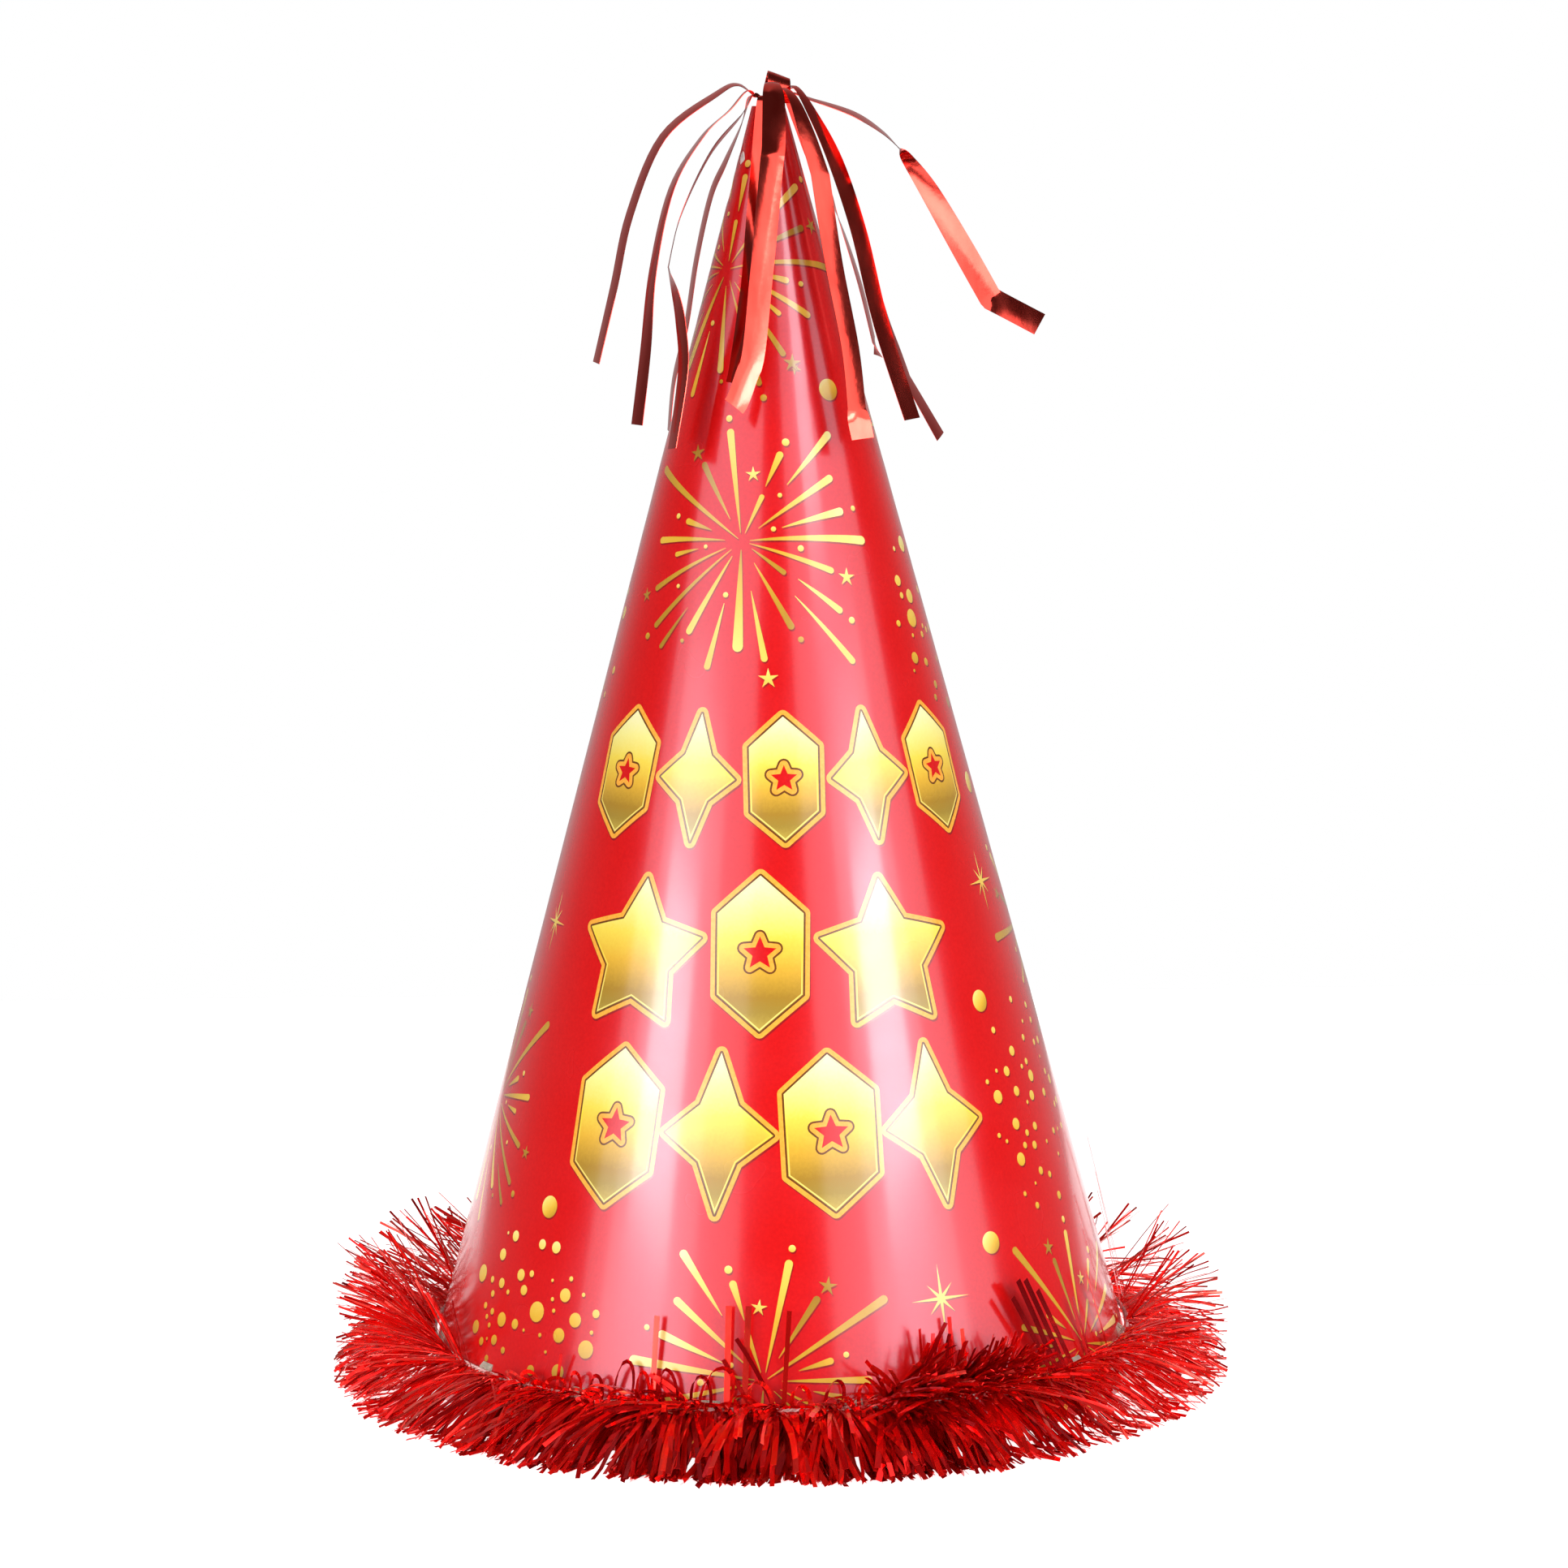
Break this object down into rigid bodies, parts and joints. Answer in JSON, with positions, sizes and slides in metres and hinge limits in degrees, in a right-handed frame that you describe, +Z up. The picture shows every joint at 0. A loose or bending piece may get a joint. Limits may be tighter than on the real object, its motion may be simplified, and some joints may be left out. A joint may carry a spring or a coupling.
{
  "type": "new year party hat",
  "caption": "Tall red card cone party hat with gold firework print, a red tinsel brim and a tassel of red foil streamers at its tip.",
  "frame": {"origin": "centre of the brim circle, on the table that the hat stands on", "axes": "+Z up the cone's axis to the tip, -Y towards the printed front, +X to the wearer's left seen from the front"},
  "size_m": [0.216, 0.216, 0.312],
  "materials": {
    "printed_card": "gloss",
    "gold_print": "gloss",
    "glue": "satin",
    "core_thread": "satin",
    "tinsel_foil": "polished",
    "ribbon_foil": "polished",
    "tie_wire": "satin"
  },
  "bodies": {
    "root": {"cone_shell": "printed_card", "seam_glue_strip": "glue", "tinsel_core": "core_thread", "tinsel_fringe": "tinsel_foil", "brim_glue_dots": "glue", "ribbon_bundle": "ribbon_foil", "bundle_tie": "tie_wire", "tip_glue_plug": "glue", "ribbon_loop": "ribbon_foil"},
    "streamer_01": {"streamer_01": "ribbon_foil"},
    "streamer_02": {"streamer_02": "ribbon_foil"},
    "streamer_03": {"streamer_03": "ribbon_foil"},
    "streamer_04": {"streamer_04": "ribbon_foil"},
    "streamer_05": {"streamer_05": "ribbon_foil"},
    "streamer_06": {"streamer_06": "ribbon_foil"},
    "streamer_07": {"streamer_07": "ribbon_foil"},
    "streamer_08": {"streamer_08": "ribbon_foil"},
    "streamer_09": {"streamer_09": "ribbon_foil"},
    "streamer_10": {"streamer_10": "ribbon_foil"},
    "streamer_11": {"streamer_11": "ribbon_foil"},
    "streamer_12": {"streamer_12": "ribbon_foil"}
  },
  "joints": [
    {"name": "streamer_01_swing", "type": "hinge", "parent": "root", "child": "streamer_01", "pos_m": [-0.003, 0, 0.306], "axis": [0, 1, 0], "range_deg": [-8, 24], "stiffness_Nm_per_rad": 0.0003},
    {"name": "streamer_02_swing", "type": "hinge", "parent": "root", "child": "streamer_02", "pos_m": [-0.00274, -0.00122, 0.306], "axis": [-0.4067, 0.9135, 0], "range_deg": [-4, 22], "stiffness_Nm_per_rad": 0.0003},
    {"name": "streamer_03_swing", "type": "hinge", "parent": "root", "child": "streamer_03", "pos_m": [-0.00205, -0.00219, 0.306], "axis": [-0.7314, 0.682, 0], "range_deg": [-4, 20], "stiffness_Nm_per_rad": 0.0003},
    {"name": "streamer_04_swing", "type": "hinge", "parent": "root", "child": "streamer_04", "pos_m": [-0.0027, 0.00131, 0.306], "axis": [0.4384, 0.8988, 0], "range_deg": [0, 20], "stiffness_Nm_per_rad": 0.0003},
    {"name": "streamer_05_swing", "type": "hinge", "parent": "root", "child": "streamer_05", "pos_m": [0.00042, -0.00297, 0.306], "axis": [-0.9903, -0.1392, 0], "range_deg": [0, 24], "stiffness_Nm_per_rad": 0.0003},
    {"name": "streamer_06_swing", "type": "hinge", "parent": "root", "child": "streamer_06", "pos_m": [-0.00108, -0.0028, 0.306], "axis": [-0.9336, 0.3584, 0], "range_deg": [0, 4], "stiffness_Nm_per_rad": 0.0003},
    {"name": "streamer_07_swing", "type": "hinge", "parent": "root", "child": "streamer_07", "pos_m": [0.00185, -0.00236, 0.306], "axis": [-0.788, -0.6157, 0], "range_deg": [-4, 20], "stiffness_Nm_per_rad": 0.0003},
    {"name": "streamer_08_swing", "type": "hinge", "parent": "root", "child": "streamer_08", "pos_m": [0.0026, -0.0015, 0.306], "axis": [-0.5, -0.866, 0], "range_deg": [-6, 20], "stiffness_Nm_per_rad": 0.0003},
    {"name": "streamer_09_swing", "type": "hinge", "parent": "root", "child": "streamer_09", "pos_m": [0.00226, 0.00197, 0.306], "axis": [0.6561, -0.7547, 0], "range_deg": [-6, 22], "stiffness_Nm_per_rad": 0.0003},
    {"name": "streamer_10_swing", "type": "hinge", "parent": "root", "child": "streamer_10", "pos_m": [0.0029, 0.00078, 0.306], "axis": [0.2588, -0.9659, 0], "range_deg": [-6, 22], "stiffness_Nm_per_rad": 0.0003},
    {"name": "streamer_11_swing", "type": "hinge", "parent": "root", "child": "streamer_11", "pos_m": [0.00297, -0.00042, 0.306], "axis": [-0.1392, -0.9903, 0], "range_deg": [-12, 20], "stiffness_Nm_per_rad": 0.0003},
    {"name": "streamer_12_swing", "type": "hinge", "parent": "root", "child": "streamer_12", "pos_m": [0.00042, 0.00297, 0.306], "axis": [0.9903, -0.1392, 0], "range_deg": [-4, 22], "stiffness_Nm_per_rad": 0.0003}
  ]
}
